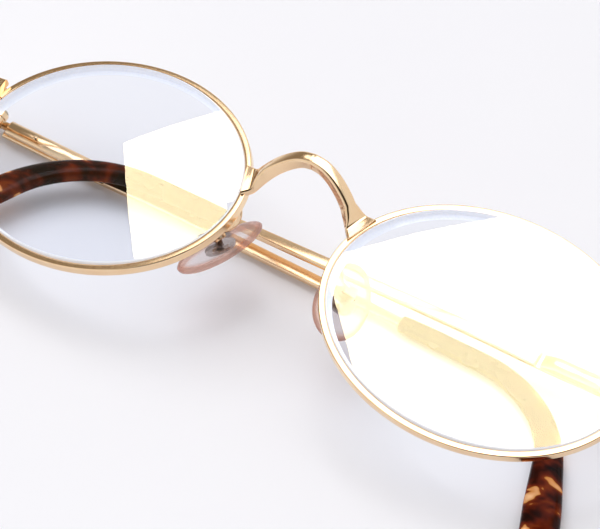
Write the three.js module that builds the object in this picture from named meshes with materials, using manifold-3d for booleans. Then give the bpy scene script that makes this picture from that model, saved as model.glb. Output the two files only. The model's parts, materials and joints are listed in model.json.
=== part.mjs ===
// Folded metal eyeglasses: oval full-rim front, saddle bridge, screw-on nose pads, sprung temple hinges and
// acetate temple tips. Millimetres, +Z up. The glasses lie on the folded right temple, lenses facing up.
//
// Frames used here, outermost first:
//   table   +X along the right temple's straight part, +Z up
//   temple  origin on the hinge axis: +X towards the tip, +Y along the hinge axis (brow side), +Z inwards
//   front   origin midway between the lens centres: +X wearer's left, +Y brow side, +Z out of the lenses
// Each side's pieces are drawn once, for the wearer's right, and mirrored for the left.

import * as THREE from "three";
import { mergeVertices } from "three/addons/utils/BufferGeometryUtils.js";
import Module from "manifold-3d";

const wasm = await Module();
wasm.setup();

// ---------------------------------------------------------------- driving dimensions
const DEG = Math.PI / 180;

// Front
const LENS_SEMI_WIDTH = 24.6; // to the outside of the rim
const LENS_SEMI_HEIGHT = 19.1;
const LENS_CENTRE_X = 32.8; // half the distance between the lens centres
const WRAP = 6.7 * DEG; // each rim leans back towards its temple
const RIM_WIDTH = 1.05;
const RIM_DEPTH = 1.5;
const RIM_EDGE = 0.12; // its broken edges
const GROOVE_DEPTH = 0.42;
const LENS_CLEARANCE = 0.06; // between the lens's edge and the rim
const LENS_THICKNESS = 1.7;
const LENS_BULGE = 1.7; // how far the lens's middle stands in front of its edge
const RIM_SPLIT_Y = 4.9; // where the rim is split for its lock screw
const SPLIT_GAP = 0.1; // each side of the split

// Bridge
const BRIDGE_HALF = 1.0; // half the rod's thickness
const FOOT_HALF_WIDTH = 2.68; // where it meets the rims
const FOOT_HALF_HEIGHT = 0.55;
const FLARE_START = 0.62; // along each half of the rod

// Hinge
const PIVOT = new THREE.Vector3(-59.5, 5.6, -12.35); // right hinge axis, in the front's frame
const EYE_RADIUS = 1.1;
const EYE_HALF_HEIGHT = 0.55;
const LUG_RADIUS = 1.2;
const HINGE_HALF_HEIGHT = 1.5;
const HINGE_SCREW_RADIUS = 0.55;
const END_PIECE_GAP = 1.85; // hinge axis to the end piece's inner face
const END_PIECE_THICKNESS = 1.25;

// Temple, in its own frame
const BUTT_X = 1.6; // where the temple strip starts
const CORE_Z = -1.25; // mid-line of the wire past the housing
const HOUSING_X = [2.3, 18.4]; // spring housing, before its sloped end
const HOUSING_SLOPE = 2.2;
const HOUSING_Z = [-1.1, 0.4];
const HOUSING_HALF_HEIGHT = 1.25;
const TIP_START = 75;
const BEND_START = 89.5;
const BEND_RADIUS = 20;
const BEND_ANGLE = 65 * DEG;
const TEMPLE_LENGTH = 140; // along the mid-line, hinge axis to the end of the tip
const TIP_ROLL = 14 * DEG; // the hooks curl inwards: their plane leans by this about the temple's +X

// Pose as folded: how far each temple stands off the front's plane, and how far it droops
const FOLD = { right: 1.26 * DEG, left: -1.43 * DEG };
const DROOP = { right: 1.9 * DEG, left: 0 };

// Nose pads, in the front's frame, right side
const PAD_CENTRE = new THREE.Vector3(-10.7, -2.7, -4.6);
const PAD_LONG = new THREE.Vector3(0.25, 0.94, -0.25).normalize();
const PAD_OUTWARD = new THREE.Vector3(-0.43, 0.33, 0.84); // away from the nose
const PAD_SEMI = [4.2, 7.9, 1.25];
const PAD_PIVOT = 1.85; // rocking axis, outward from the pad's centre

const GAP = 0.05; // between pieces that are soldered or screwed together

// ---------------------------------------------------------------- helpers
const v = (x, y, z) => new THREE.Vector3(x, y, z);

// A closed body through rings of equally many points, with fan caps, or closed on itself.
function loft(rings, closed = false) {
  const count = rings[0].length;
  const points = rings.flat();
  const triangles = [];
  const last = closed ? rings.length : rings.length - 1;
  for (let i = 0; i < last; i++) {
    const here = i * count;
    const next = ((i + 1) % rings.length) * count;
    for (let j = 0; j < count; j++) {
      const k = (j + 1) % count;
      triangles.push(here + j, here + k, next + k, here + j, next + k, next + j);
    }
  }
  if (!closed) {
    [rings[0], rings[rings.length - 1]].forEach((ring, end) => {
      const middle = ring.reduce((sum, p) => sum.add(p), v(0, 0, 0)).divideScalar(count);
      const start = end ? (rings.length - 1) * count : 0;
      const hub = points.push(middle) - 1;
      for (let j = 0; j < count; j++) {
        const k = (j + 1) % count;
        triangles.push(hub, start + (end ? j : k), start + (end ? k : j));
      }
    });
  }
  let volume = 0;
  for (let i = 0; i < triangles.length; i += 3) {
    const [a, b, c] = triangles.slice(i, i + 3).map((n) => points[n]);
    volume += a.dot(v(0, 0, 0).crossVectors(b, c));
  }
  if (volume < 0) triangles.reverse();
  const geometry = new THREE.BufferGeometry();
  const coordinates = points.flatMap((p) => [p.x, p.y, p.z]);
  geometry.setAttribute("position", new THREE.Float32BufferAttribute(coordinates, 3));
  geometry.setIndex(triangles);
  return geometry;
}

// Outline of a rounded rectangle as [across, up] pairs.
function roundedRect(halfAcross, halfUp, radius, perCorner = 3) {
  const r = Math.min(radius, halfAcross * 0.98, halfUp * 0.98);
  const outline = [];
  for (const [sx, sy, from] of [[1, 1, 0], [-1, 1, 90], [-1, -1, 180], [1, -1, 270]]) {
    for (let i = 0; i < perCorner; i++) {
      const angle = (from + (90 * i) / (perCorner - 1)) * DEG;
      outline.push([sx * (halfAcross - r) + r * Math.cos(angle), sy * (halfUp - r) + r * Math.sin(angle)]);
    }
  }
  return outline;
}

// A loft of rounded rectangles. A station is {at, across, up, halfAcross, halfUp, corner}.
function sweep(stations, grow = 0, perCorner = 3) {
  return loft(stations.map((s) =>
    roundedRect(s.halfAcross + grow, s.halfUp + grow, s.corner + grow, perCorner)
      .map(([p, q]) => s.at.clone().addScaledVector(s.across, p).addScaledVector(s.up, q))));
}

function box(low, high) {
  const size = high.map((h, i) => h - low[i]);
  const g = new THREE.BoxGeometry(...size);
  return g.translate(...low.map((l, i) => l + size[i] / 2));
}

// A cylinder along an axis, from its centre.
function rod(radius, length, axis, centre, segments = 16) {
  const g = new THREE.CylinderGeometry(radius, radius, length, segments);
  g.applyQuaternion(new THREE.Quaternion().setFromUnitVectors(v(0, 1, 0), axis));
  return g.translate(centre.x, centre.y, centre.z);
}

function solid(geometry) {
  const g = geometry.clone();
  g.deleteAttribute("normal");
  g.deleteAttribute("uv");
  const merged = mergeVertices(g, 1e-4);
  return new wasm.Manifold(new wasm.Mesh({
    numProp: 3,
    vertProperties: merged.attributes.position.array,
    triVerts: new Uint32Array(merged.index.array),
  }));
}

function geometryOf(manifold) {
  const mesh = manifold.getMesh();
  const g = new THREE.BufferGeometry();
  g.setAttribute("position", new THREE.BufferAttribute(mesh.vertProperties, 3));
  return g.setIndex(new THREE.BufferAttribute(mesh.triVerts, 1));
}

const cut = (body, ...tools) => geometryOf(tools.reduce((s, t) => s.subtract(solid(t)), solid(body)));
const join = (...bodies) => geometryOf(bodies.map(solid).reduce((s, t) => s.add(t)));

// ---------------------------------------------------------------- materials
const FINISH = {
  gold: { color: 0xd9b27a, roughness: 0.25, metalness: 1 },
  steel: { color: 0xb9b6ae, roughness: 0.35, metalness: 1 },
  lens: { color: 0xe8eefc, roughness: 0.02, metalness: 0, transparent: true, opacity: 0.25 },
  silicone: { color: 0xf3e4df, roughness: 0.2, metalness: 0, transparent: true, opacity: 0.6 },
  tortoiseshell: { color: 0x5a2410, roughness: 0.12, metalness: 0 },
};

function piece(name, geometry, finish) {
  const shaded = geometry.clone();
  shaded.computeVertexNormals();
  const mesh = new THREE.Mesh(shaded, new THREE.MeshStandardMaterial(FINISH[finish]));
  mesh.name = name;
  return mesh;
}

// ---------------------------------------------------------------- rim and lens, in the rim's own plane
// Point of the rim's outline at a polar angle, moved out along the normal by `out` and forward by `z`.
function rimPoint(angle, out, z) {
  const x = LENS_SEMI_WIDTH * Math.cos(angle);
  const y = LENS_SEMI_HEIGHT * Math.sin(angle);
  const nx = Math.cos(angle) / LENS_SEMI_WIDTH;
  const ny = Math.sin(angle) / LENS_SEMI_HEIGHT;
  const n = Math.hypot(nx, ny);
  return v(x + (out * nx) / n, y + (out * ny) / n, z);
}

// Rim wire section as [out, forward]: a flat front with broken edges and a V groove for the lens inside.
function rimSection(grow = 0) {
  const half = RIM_DEPTH / 2;
  return [
    [-RIM_EDGE, grow], [grow, -RIM_EDGE], [grow, -RIM_DEPTH + RIM_EDGE], [-RIM_EDGE, -RIM_DEPTH - grow],
    [-RIM_WIDTH + RIM_EDGE, -RIM_DEPTH - grow], [-RIM_WIDTH - grow, -half - GROOVE_DEPTH],
    [-RIM_WIDTH + (grow ? -grow : GROOVE_DEPTH), -half], [-RIM_WIDTH - grow, -half + GROOVE_DEPTH],
    [-RIM_WIDTH + RIM_EDGE, grow],
  ];
}

const SPLIT_ANGLE = Math.PI - Math.asin(RIM_SPLIT_Y / LENS_SEMI_HEIGHT);
const SPLIT_HALF = SPLIT_GAP / LENS_SEMI_HEIGHT; // as an angle
const RIM_STEPS = 58;

function rimWire() {
  const rings = [];
  for (let i = 0; i <= RIM_STEPS; i++) {
    const angle = SPLIT_ANGLE + SPLIT_HALF + ((2 * Math.PI - 2 * SPLIT_HALF) * i) / RIM_STEPS;
    rings.push(rimSection().map(([out, z]) => rimPoint(angle, out, z)));
  }
  return loft(rings);
}

// The rim with a little room round it, closed, for cutting what is soldered to it.
function rimEnvelope() {
  const rings = [];
  for (let i = 0; i < RIM_STEPS; i++) {
    const angle = SPLIT_ANGLE + (2 * Math.PI * i) / RIM_STEPS;
    rings.push(rimSection(GAP).map(([out, z]) => rimPoint(angle, out, z)));
  }
  return loft(rings, true);
}

// The lens: a bevelled edge in the groove, a bulging front and a back that follows it.
function lensBody() {
  const steps = 40;
  const mid = -RIM_DEPTH / 2;
  const half = LENS_THICKNESS / 2;
  const edge = -RIM_WIDTH - LENS_CLEARANCE;
  const bevel = GROOVE_DEPTH - LENS_CLEARANCE;
  const ringAt = (scale, out, z) => Array.from({ length: steps }, (_, i) => {
    const p = rimPoint((2 * Math.PI * i) / steps, out, 0);
    return v(p.x * scale, p.y * scale, z);
  });
  const crown = (scale) => LENS_BULGE * (1 - scale * scale);
  const rings = [];
  for (const scale of [0.12, 0.4, 0.65, 0.85]) rings.push(ringAt(scale, edge, mid + half + crown(scale)));
  rings.push(ringAt(1, edge, mid + half));
  rings.push(ringAt(1, edge, mid + bevel - 0.02));
  rings.push(ringAt(1, edge + bevel, mid));
  rings.push(ringAt(1, edge, mid - bevel + 0.02));
  rings.push(ringAt(1, edge, mid - half));
  for (const scale of [0.85, 0.6, 0.3]) rings.push(ringAt(scale, edge, mid - half + crown(scale)));
  return loft(rings);
}

// Places a geometry of the right rim's plane in the front's frame.
function fromRimPlane(geometry, side = -1) {
  const g = geometry.clone();
  g.rotateY(side * WRAP);
  return g.translate(side * LENS_CENTRE_X, 0, 0);
}

// ---------------------------------------------------------------- bridge
// The rod arches up and forward from one rim to the other, and flares into a flat foot on each.
function bridgeBody() {
  const stations = [];
  const line = new THREE.CatmullRomCurve3([
    v(0, 9.88, 7.97), v(1.9, 9.7, 7.62), v(3.8, 9.08, 6.76), v(5.7, 8.07, 5.53),
    v(7.3, 6.95, 4.1), v(8.7, 6.05, 2.64), v(10.15, 5.28, 2.74),
  ], false, "centripetal");
  const steps = 15;
  const footAcross = v(1.92, 5, -0.2).normalize();
  const half = [];
  for (let i = 0; i <= steps; i++) {
    const t = i / steps;
    const at = line.getPoint(t);
    const tangent = line.getTangent(t);
    const flare = THREE.MathUtils.clamp((t - FLARE_START) / (1 - FLARE_START), 0, 1);
    const across = v(0, 1, 0).addScaledVector(tangent, -tangent.y).normalize().lerp(footAcross, flare);
    across.normalize();
    const up = v(0, 0, 1).addScaledVector(across, -across.z);
    up.lerp(v(0, 0, 0).crossVectors(tangent, across), 1 - flare).normalize();
    half.push({
      at, across, up,
      halfAcross: THREE.MathUtils.lerp(BRIDGE_HALF, FOOT_HALF_WIDTH, flare),
      halfUp: THREE.MathUtils.lerp(BRIDGE_HALF, FOOT_HALF_HEIGHT, flare),
      corner: 0.35,
    });
  }
  for (const s of [...half].reverse()) {
    const flip = (p) => v(-p.x, p.y, p.z);
    stations.push({ ...s, at: flip(s.at), across: flip(s.across), up: flip(s.up) });
  }
  stations.push(...half.slice(1));
  return cut(sweep(stations, 0, 4), fromRimPlane(rimEnvelope(), 1), fromRimPlane(rimEnvelope(), -1));
}

// ---------------------------------------------------------------- end piece, rim lock and hinge lugs
function endPieceBody() {
  const inner = PIVOT.x - END_PIECE_GAP;
  const x = inner - END_PIECE_THICKNESS / 2;
  const line = new THREE.CatmullRomCurve3([
    v(-56, 0, -2.15), v(-58, 0, -2.45), v(-60.4, 0, -3.8), v(x + 0.15, 0, -6.2),
    v(x, 0, -9), v(x, 0, PIVOT.z - 1.15),
  ], false, "centripetal");
  const steps = 14;
  const stations = [];
  for (let i = 0; i <= steps; i++) {
    const t = i / steps;
    const tangent = line.getTangent(t);
    stations.push({
      at: line.getPoint(t).setY(PIVOT.y),
      across: v(tangent.z, 0, -tangent.x),
      up: v(0, 1, 0),
      halfAcross: END_PIECE_THICKNESS / 2,
      halfUp: THREE.MathUtils.lerp(1.85, 1.45, t),
      corner: 0.35,
    });
  }
  return cut(sweep(stations), fromRimPlane(rimEnvelope()));
}

const LOCK_X = [-59.2, -56];
const LOCK_Y = [2.6, 7.1];
const LOCK_Z = [-5.7, -3.75];
const LOCK_SCREW = v(-58.05, 0, -4.85);

function lockBlock(low, high) {
  const block = box([LOCK_X[0], low, LOCK_Z[0]], [LOCK_X[1], high, LOCK_Z[1]]);
  const hole = rod(0.5, 12, v(0, 1, 0), LOCK_SCREW.clone().setY(PIVOT.y));
  return cut(block, fromRimPlane(rimEnvelope()), hole);
}

function lockScrewBody() {
  const head = rod(0.78, 0.4, v(0, 1, 0), LOCK_SCREW.clone().setY(2.35));
  const shank = rod(0.44, 4.5, v(0, 1, 0), LOCK_SCREW.clone().setY(4.6));
  const slot = box([-60, 2, LOCK_SCREW.z - 0.1], [-56, 2.3, LOCK_SCREW.z + 0.1]);
  return cut(join(head, shank), slot);
}

function hingeLugsBody() {
  const y = v(0, 1, 0);
  const height = HINGE_HALF_HEIGHT * 2;
  const slot = EYE_HALF_HEIGHT + 0.1;
  const inner = -END_PIECE_GAP + GAP;
  const body = join(
    rod(LUG_RADIUS, height, y, v(0, 0, 0), 24),
    box([inner, -HINGE_HALF_HEIGHT, -LUG_RADIUS], [0, HINGE_HALF_HEIGHT, LUG_RADIUS]),
  );
  return cut(
    body,
    box([-1.45, -slot, -2], [2, slot, 2]),
    rod(HINGE_SCREW_RADIUS + GAP, 6, y, v(0, 0, 0)),
  ).translate(PIVOT.x, PIVOT.y, PIVOT.z);
}

function hingeScrewBody() {
  const y = v(0, 1, 0);
  const headHeight = 0.42;
  const top = HINGE_HALF_HEIGHT + GAP + headHeight;
  const body = join(
    rod(HINGE_SCREW_RADIUS, HINGE_HALF_HEIGHT * 2 + 0.2, y, v(0, 0.1, 0)),
    rod(0.95, headHeight, y, v(0, top - headHeight / 2, 0)),
  );
  return cut(body, box([-2, top - 0.18, -0.12], [2, top + 1, 0.12])).translate(PIVOT.x, PIVOT.y, PIVOT.z);
}

// ---------------------------------------------------------------- nose pad and its arm
// Pad frame: X across the pad, Y along it, Z away from the nose.
function fromPadFrame(geometry) {
  const outward = PAD_OUTWARD.clone().addScaledVector(PAD_LONG, -PAD_OUTWARD.dot(PAD_LONG)).normalize();
  const across = v(0, 0, 0).crossVectors(PAD_LONG, outward);
  const place = new THREE.Matrix4().makeBasis(across, PAD_LONG, outward).setPosition(PAD_CENTRE);
  return geometry.clone().applyMatrix4(place);
}

function padCoreBody(grow = 0) {
  const plate = rod(2.1 + grow, 0.5 + 2 * grow, v(0, 0, 1), v(0, 0, 0), 20).scale(1, 1.24, 1);
  const stem = box([-0.35 - grow, -0.5 - grow, 0], [0.35 + grow, 0.5 + grow, 2.3]);
  return cut(join(plate, stem), rod(0.32, 4, v(1, 0, 0), v(0, 0, PAD_PIVOT), 12));
}

function nosePadBody() {
  const pad = new THREE.SphereGeometry(1, 22, 12).rotateX(Math.PI / 2).scale(...PAD_SEMI);
  return cut(pad, padCoreBody(GAP));
}

function padBoxBody() {
  return cut(
    box([-0.95, -1, 1.45], [0.95, 1, 2.85]),
    box([-0.42, -2, 1], [0.42, 2, 2.5]),
    rod(0.33, 4, v(1, 0, 0), v(0, 0, PAD_PIVOT), 12),
  );
}

function padScrewBody() {
  return join(
    rod(0.26, 2.1, v(1, 0, 0), v(0.05, 0, PAD_PIVOT), 12),
    rod(0.5, 0.3, v(1, 0, 0), v(-1.13, 0, PAD_PIVOT), 12),
  );
}

function padArmBody() {
  const line = new THREE.CatmullRomCurve3([
    v(-8.9, 1.5, 1.1), v(-8.8, 0.8, 0), v(-9.2, -0.1, -1.1), v(-10.3, -1.1, -1.9), v(-11.65, -1.72, -2.1),
  ], false, "centripetal");
  const steps = 12;
  const stations = [];
  for (let i = 0; i <= steps; i++) {
    const tangent = line.getTangent(i / steps);
    const across = v(0, 0, 0).crossVectors(v(0, 1, 0), tangent).normalize();
    const up = v(0, 0, 0).crossVectors(tangent, across);
    stations.push({ at: line.getPoint(i / steps), across, up, halfAcross: 0.45, halfUp: 0.45, corner: 0.42 });
  }
  const boxRoom = fromPadFrame(box([-1, -1.05, 1.4], [1, 1.05, 2.9]));
  return cut(sweep(stations), fromRimPlane(rimEnvelope()), boxRoom);
}

// ---------------------------------------------------------------- temple
// Stations of the temple's wire. Past the housing its mid-line runs in the hook's plane.
function wirePoint(s) {
  let x = s;
  let drop = 0;
  let heading = 0;
  if (s > BEND_START) {
    heading = Math.min((s - BEND_START) / BEND_RADIUS, BEND_ANGLE);
    x = BEND_START + BEND_RADIUS * Math.sin(heading);
    drop = BEND_RADIUS * (1 - Math.cos(heading));
    const straight = s - BEND_START - BEND_RADIUS * BEND_ANGLE;
    if (straight > 0) {
      x += straight * Math.cos(heading);
      drop += straight * Math.sin(heading);
    }
  }
  const roll = TIP_ROLL * THREE.MathUtils.smoothstep(s, 55, TIP_START);
  const normal = v(0, Math.sin(roll), Math.cos(roll));
  const downhill = v(0, -Math.cos(TIP_ROLL), Math.sin(TIP_ROLL));
  const at = v(x, 0, CORE_Z).addScaledVector(downhill, drop);
  const forward = v(Math.cos(heading), 0, 0).addScaledVector(downhill, Math.sin(heading));
  const up = v(0, 0, 0).crossVectors(normal, forward);
  return { at, across: normal, up };
}

// A value read off a list of [s, value] steps, with straight lines between them.
function along(table, s) {
  const i = table.findIndex(([at]) => at >= s);
  if (i < 0) return table[table.length - 1][1];
  if (i === 0) return table[0][1];
  const [[s0, a], [s1, b]] = [table[i - 1], table[i]];
  return THREE.MathUtils.lerp(a, b, (s - s0) / (s1 - s0));
}

const WIRE_HALF_HEIGHT = [
  [BUTT_X, 1.35], [21, 1.35], [32, 1.02], [58, 0.95], [70, 0.88], [TIP_START, 0.82], [80, 0.6],
];
const WIRE_HALF_THICKNESS = [[45, 0.6], [70, 0.55], [TIP_START, 0.5]];
const WIRE_CORNER = 0.16;

function wireStations(stops) {
  return stops.map((s) => ({
    ...wirePoint(s),
    halfAcross: along(WIRE_HALF_THICKNESS, s),
    halfUp: along(WIRE_HALF_HEIGHT, s),
    corner: WIRE_CORNER,
  }));
}

const HOOK_STOPS = [89.5, 92.4, 95.3, 98.1, 101, 103.8, 106.7, 109.5, 112.2, 120, 126, 131];

function templeBody() {
  const full = wireStations([BUTT_X, 21.5, 28, 35, 46, 55, 60, 65, 70, TIP_START, 80, ...HOOK_STOPS]);
  const relief = box([0, -2, -1.15], [HOUSING_X[1] + HOUSING_SLOPE + 0.3, 2, 1]);
  return cut(sweep(full), relief);
}

const TIP_HALF_WIDTH = [
  [TIP_START, 1.2], [77, 1.42], [84, 1.52], [95, 1.65], [108, 2.0], [120, 2.8], [131, 3.0],
  [136, 2.6], [138.5, 1.85], [139.6, 1.0], [TEMPLE_LENGTH, 0.35],
];
const TIP_UNDER = [[TIP_START, 1.15], [80, 1.35], [134, 1.35], [138.5, 1.0], [TEMPLE_LENGTH, 0.25]];
const TIP_OVER = [[TIP_START, 1.1], [80, 1.3], [108, 1.35], [134, 1.2], [138.5, 0.9], [TEMPLE_LENGTH, 0.25]];

function templeTipBody() {
  const stops = [TIP_START + 0.6, 77, 80, 84, ...HOOK_STOPS, 134, 136, 138.5, 139.6, TEMPLE_LENGTH];
  const stations = stops.map((s) => {
    const wire = wirePoint(Math.max(s, TIP_START));
    const under = along(TIP_UNDER, s);
    const over = along(TIP_OVER, s);
    return {
      ...wire,
      at: wire.at.addScaledVector(wire.across, (over - under) / 2),
      halfAcross: (over + under) / 2,
      halfUp: along(TIP_HALF_WIDTH, s),
      corner: 0.95,
    };
  });
  const bore = sweep(wireStations([TIP_START, 80, ...HOOK_STOPS, 131.3]), GAP);
  return cut(sweep(stations, 0, 4), bore);
}

// ---------------------------------------------------------------- spring hinge inside the temple
const BORE_MID_Z = (HOUSING_Z[0] + HOUSING_Z[1]) / 2;
const BUSH_X = [7.2, 8.2];
const PIN_X = 7.7;
const SLIDER_HEAD_X = [14.4, 15];

function housingBody() {
  const bevel = 0.24;
  const endHeight = 0.4; // what is left of the housing at the foot of its slope
  const [x0, x1] = HOUSING_X;
  const [z0, z1] = HOUSING_Z;
  const foot = x1 + HOUSING_SLOPE - bevel;
  const profile = new THREE.Shape([
    [x0 + bevel, z0 + bevel], [foot, z0 + bevel], [foot, z0 + endHeight],
    [x1 - bevel, z1 - bevel], [x0 + bevel, z1 - bevel],
  ].map(([x, z]) => new THREE.Vector2(x, z)));
  const body = new THREE.ExtrudeGeometry(profile, {
    depth: 2 * (HOUSING_HALF_HEIGHT - bevel), bevelThickness: bevel, bevelSize: bevel, bevelSegments: 2,
  });
  body.translate(0, 0, -HOUSING_HALF_HEIGHT + bevel).rotateX(Math.PI / 2);
  return cut(
    body,
    box([x0 - 1, -0.62, BORE_MID_Z - 0.52], [15.9, 0.62, BORE_MID_Z + 0.52]),
    rod(0.47, 1, v(0, 0, 1), v(PIN_X, 0, 0.6)),
  );
}

function sliderBody() {
  const x = v(1, 0, 0);
  const onAxis = (from, to, radius) => rod(radius, to - from, x, v((from + to) / 2, 0, BORE_MID_Z), 10);
  const neck = box([0.6, -0.52, BORE_MID_Z - 0.45], [6.8, 0.52, BORE_MID_Z + 0.45]);
  const stem = onAxis(6.5, SLIDER_HEAD_X[1], 0.22);
  const head = onAxis(...SLIDER_HEAD_X, 0.44);
  const eye = rod(EYE_RADIUS, 2 * EYE_HALF_HEIGHT, v(0, 1, 0), v(0, 0, 0), 24);
  return cut(join(eye, neck, stem, head), rod(HINGE_SCREW_RADIUS + 0.08, 4, v(0, 1, 0), v(0, 0, 0)));
}

function bushBody() {
  return cut(
    box([BUSH_X[0], -0.57, BORE_MID_Z - 0.47], [BUSH_X[1], 0.57, BORE_MID_Z + 0.47]),
    rod(0.31, 3, v(1, 0, 0), v(PIN_X, 0, BORE_MID_Z), 12),
    rod(0.45, 1, v(0, 0, 1), v(PIN_X, 0, 0.51)),
  );
}

function dimplePinBody() {
  const profile = [[0, 0.05], [0.4, 0.05], [0.4, 0.62], [0.3, 0.78], [0, 0.84]];
  const pin = new THREE.LatheGeometry(profile.map(([r, z]) => new THREE.Vector2(r, z)), 14);
  return pin.rotateX(Math.PI / 2).translate(PIN_X, 0, 0);
}

class Coil extends THREE.Curve {
  getPoint(t, target = new THREE.Vector3()) {
    const turns = 6;
    const radius = 0.38;
    const ends = [BUSH_X[1] + 0.14, SLIDER_HEAD_X[0] - 0.14];
    const angle = 2 * Math.PI * turns * t;
    const x = THREE.MathUtils.lerp(ends[0], ends[1], t);
    return target.set(x, radius * Math.cos(angle), BORE_MID_Z + radius * Math.sin(angle));
  }
}

function springBody() {
  const wire = new THREE.Shape([0, 90, 180, 270].map((a) =>
    new THREE.Vector2(0.08 * Math.cos(a * DEG), 0.08 * Math.sin(a * DEG))));
  return new THREE.ExtrudeGeometry(wire, { steps: 60, extrudePath: new Coil(), bevelEnabled: false });
}

// ---------------------------------------------------------------- assembly
// Everything of one side that is fixed to the front or hangs from it, drawn for the wearer's right.
function frontSide(side) {
  const group = new THREE.Group();
  const add = (name, geometry, finish) => group.add(piece(`${side}_${name}`, geometry, finish));
  add("rim", fromRimPlane(rimWire()), "gold");
  add("lens", fromRimPlane(lensBody()), "lens");
  add("end_piece", endPieceBody(), "gold");
  add("rim_lock_upper", lockBlock(RIM_SPLIT_Y + SPLIT_GAP, LOCK_Y[1]), "gold");
  add("rim_lock_lower", lockBlock(LOCK_Y[0], RIM_SPLIT_Y - SPLIT_GAP), "gold");
  add("rim_lock_screw", lockScrewBody(), "steel");
  add("hinge_lugs", hingeLugsBody(), "gold");
  add("hinge_screw", hingeScrewBody(), "steel");
  add("pad_arm", padArmBody(), "gold");
  add("pad_box", fromPadFrame(padBoxBody()), "gold");
  add("pad_screw", fromPadFrame(padScrewBody()), "steel");
  add("pad_core", fromPadFrame(padCoreBody()), "steel");
  add("nose_pad", fromPadFrame(nosePadBody()), "silicone");
  return group;
}

// A temple in its own frame, drawn for the wearer's right.
function temple(side) {
  const group = new THREE.Group();
  const add = (name, geometry, finish) => group.add(piece(`${side}_${name}`, geometry, finish));
  add("temple", templeBody(), "gold");
  add("temple_tip", templeTipBody(), "tortoiseshell");
  add("spring_housing", housingBody(), "gold");
  add("spring_slider", sliderBody(), "steel");
  add("spring_bush", bushBody(), "steel");
  add("dimple_pin", dimplePinBody(), "gold");
  add("hinge_spring", springBody(), "steel");
  return group;
}

// Where a folded temple's frame sits in the front's frame, drawn for the wearer's right.
function templeSeat(side) {
  return new THREE.Matrix4()
    .makeTranslation(PIVOT)
    .multiply(new THREE.Matrix4().makeRotationY(FOLD[side]))
    .multiply(new THREE.Matrix4().makeRotationZ(-DROOP[side]));
}

const front = new THREE.Group();
front.add(piece("bridge", bridgeBody(), "gold"));
front.add(frontSide("right"));
const mirrored = new THREE.Group();
mirrored.scale.x = -1;
mirrored.add(frontSide("left"));
const leftTemple = temple("left");
leftTemple.applyMatrix4(templeSeat("left"));
mirrored.add(leftTemple);
front.add(mirrored);
front.applyMatrix4(templeSeat("right").invert());

const lying = new THREE.Group();
lying.add(temple("right"));
lying.add(front);
lying.rotation.x = TIP_ROLL;

// The origin is the middle of the bounding box's underside.
const glasses = new THREE.Group();
glasses.add(lying);
glasses.updateMatrixWorld(true);
const bounds = new THREE.Box3().setFromObject(glasses, true);
lying.position.set(
  -(bounds.min.x + bounds.max.x) / 2,
  -(bounds.min.y + bounds.max.y) / 2,
  -bounds.min.z,
);
glasses.updateMatrixWorld(true);

export default glasses;
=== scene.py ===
"""Looks for the folded metal eyeglasses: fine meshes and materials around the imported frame.

Sizes are in millimetres, in the same local frames as the design:
  front   origin midway between the lens centres: +X wearer's left, +Y brow side, +Z out of the lenses
  temple  origin on the hinge axis: +X towards the tip, +Y along the hinge axis, +Z inwards
  pad     origin at the pad's centre: +X across it, +Y along it, +Z away from the nose
Each frame's matrix also turns millimetres into metres.
"""
import json
import math

import bmesh
import bpy
from mathutils import Matrix, Vector

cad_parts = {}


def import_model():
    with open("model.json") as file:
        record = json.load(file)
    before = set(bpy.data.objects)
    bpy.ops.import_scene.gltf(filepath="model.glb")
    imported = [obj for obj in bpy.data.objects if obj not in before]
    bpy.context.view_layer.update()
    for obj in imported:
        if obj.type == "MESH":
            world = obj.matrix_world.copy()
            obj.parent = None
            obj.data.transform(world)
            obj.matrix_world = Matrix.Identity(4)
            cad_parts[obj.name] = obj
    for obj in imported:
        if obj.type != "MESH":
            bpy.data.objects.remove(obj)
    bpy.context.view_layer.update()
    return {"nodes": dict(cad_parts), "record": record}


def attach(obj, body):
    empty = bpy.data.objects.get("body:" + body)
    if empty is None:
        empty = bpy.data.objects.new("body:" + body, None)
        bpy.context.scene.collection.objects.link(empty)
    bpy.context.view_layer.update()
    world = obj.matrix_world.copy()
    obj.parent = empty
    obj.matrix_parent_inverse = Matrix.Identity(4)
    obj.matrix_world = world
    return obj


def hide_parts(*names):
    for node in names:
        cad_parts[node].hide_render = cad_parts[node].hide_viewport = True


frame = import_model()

MM = 0.001
DEG = math.pi / 180
SIDES = ("right", "left")

# ---------------------------------------------------------------- sizes
# Front
LENS_SEMI_WIDTH = 24.6
LENS_SEMI_HEIGHT = 19.1
LENS_CENTRE_X = 32.8
WRAP = 6.7 * DEG
RIM_WIDTH = 1.05
RIM_DEPTH = 1.5
RIM_CORNER = 0.2
GROOVE_DEPTH = 0.42
RIM_SPLIT_Y = 4.9
SPLIT_GAP = 0.1  # each side of the split
LENS_THICKNESS = 1.7
LENS_RADIUS = 160.0
LENS_CLEARANCE = 0.06  # between the lens's edge and the rim
LENS_LOWERED = 0.2  # the middle of its edge is this far behind the groove
LENS_CHAMFER = 0.12
BRIDGE_HALF = 1.0
BRIDGE_CORNER = 0.45
BRIDGE_DOME = 0.1  # how far its front bulges
FOOT_HALF_WIDTH = 2.68
FOOT_HALF_HEIGHT = 0.55
FLARE_START = 0.62  # along each half of the bridge
PIVOT_Y = 5.6
PIVOT_Z = -12.35
END_PIECE_GAP = 1.85  # hinge axis to the end piece's inner face
END_PIECE_THICKNESS = 1.25
END_PIECE_HALF_HEIGHTS = (1.85, 1.45)  # at the rim and at the hinge
STRIP_CORNER = 0.28  # rounded edges of the end pieces and the temple strips
PAD_ARM_RADIUS = 0.44

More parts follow.
